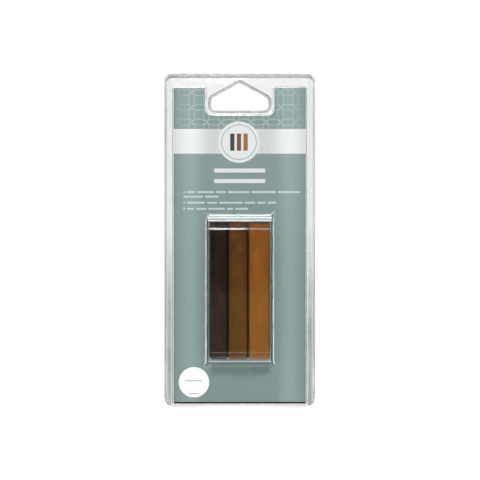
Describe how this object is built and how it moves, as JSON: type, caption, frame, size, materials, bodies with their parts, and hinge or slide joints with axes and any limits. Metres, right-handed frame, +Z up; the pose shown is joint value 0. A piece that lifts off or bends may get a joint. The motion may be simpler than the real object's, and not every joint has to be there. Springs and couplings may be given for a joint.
{
  "type": "furniture repair wax stick pack",
  "caption": "Clear hanging clamshell pack with a printed card and brown wax sticks for filling scratches in wood; the back folds open along a living hinge.",
  "frame": {"origin": "top of the hang hole, where a peg bears, on the plane between the two halves", "axes": "+X to the right as seen from the front, +Y from the front to the back, +Z up along the hanging pack"},
  "size_m": [0.0774, 0.0137, 0.1715],
  "materials": {
    "clear_sheet": "clear, glossy formed sheet",
    "card": "matt print",
    "label": "coated white paper",
    "dark_wax": "cast wax, dull with faint smears",
    "medium_wax": "cast wax, dull with faint smears",
    "light_wax": "cast wax, dull with faint smears"
  },
  "bodies": {
    "pack": {"front_shell": "clear_sheet", "card_insert": "card", "shade_label": "label", "living_hinge": "clear_sheet"},
    "lid": {"back_shell": "clear_sheet"},
    "stick_dark": {"wax_stick_dark": "dark_wax"},
    "stick_medium": {"wax_stick_medium": "medium_wax"},
    "stick_light": {"wax_stick_light": "light_wax"}
  },
  "joints": [
    {"name": "lid_hinge", "type": "hinge", "parent": "pack", "child": "lid", "pos_m": [0, 0, -0.16671], "axis": [-1, 0, 0], "range_deg": [0, 180], "deforming": ["living_hinge"]},
    {"name": "dark_slide", "type": "slide", "parent": "pack", "child": "stick_dark", "axis": [0, 0, 1], "range_m": [0, 0.0006]},
    {"name": "medium_slide", "type": "slide", "parent": "pack", "child": "stick_medium", "axis": [0, 0, 1], "range_m": [0, 0.0006]},
    {"name": "light_slide", "type": "slide", "parent": "pack", "child": "stick_light", "axis": [0, 0, 1], "range_m": [0, 0.0013]}
  ]
}
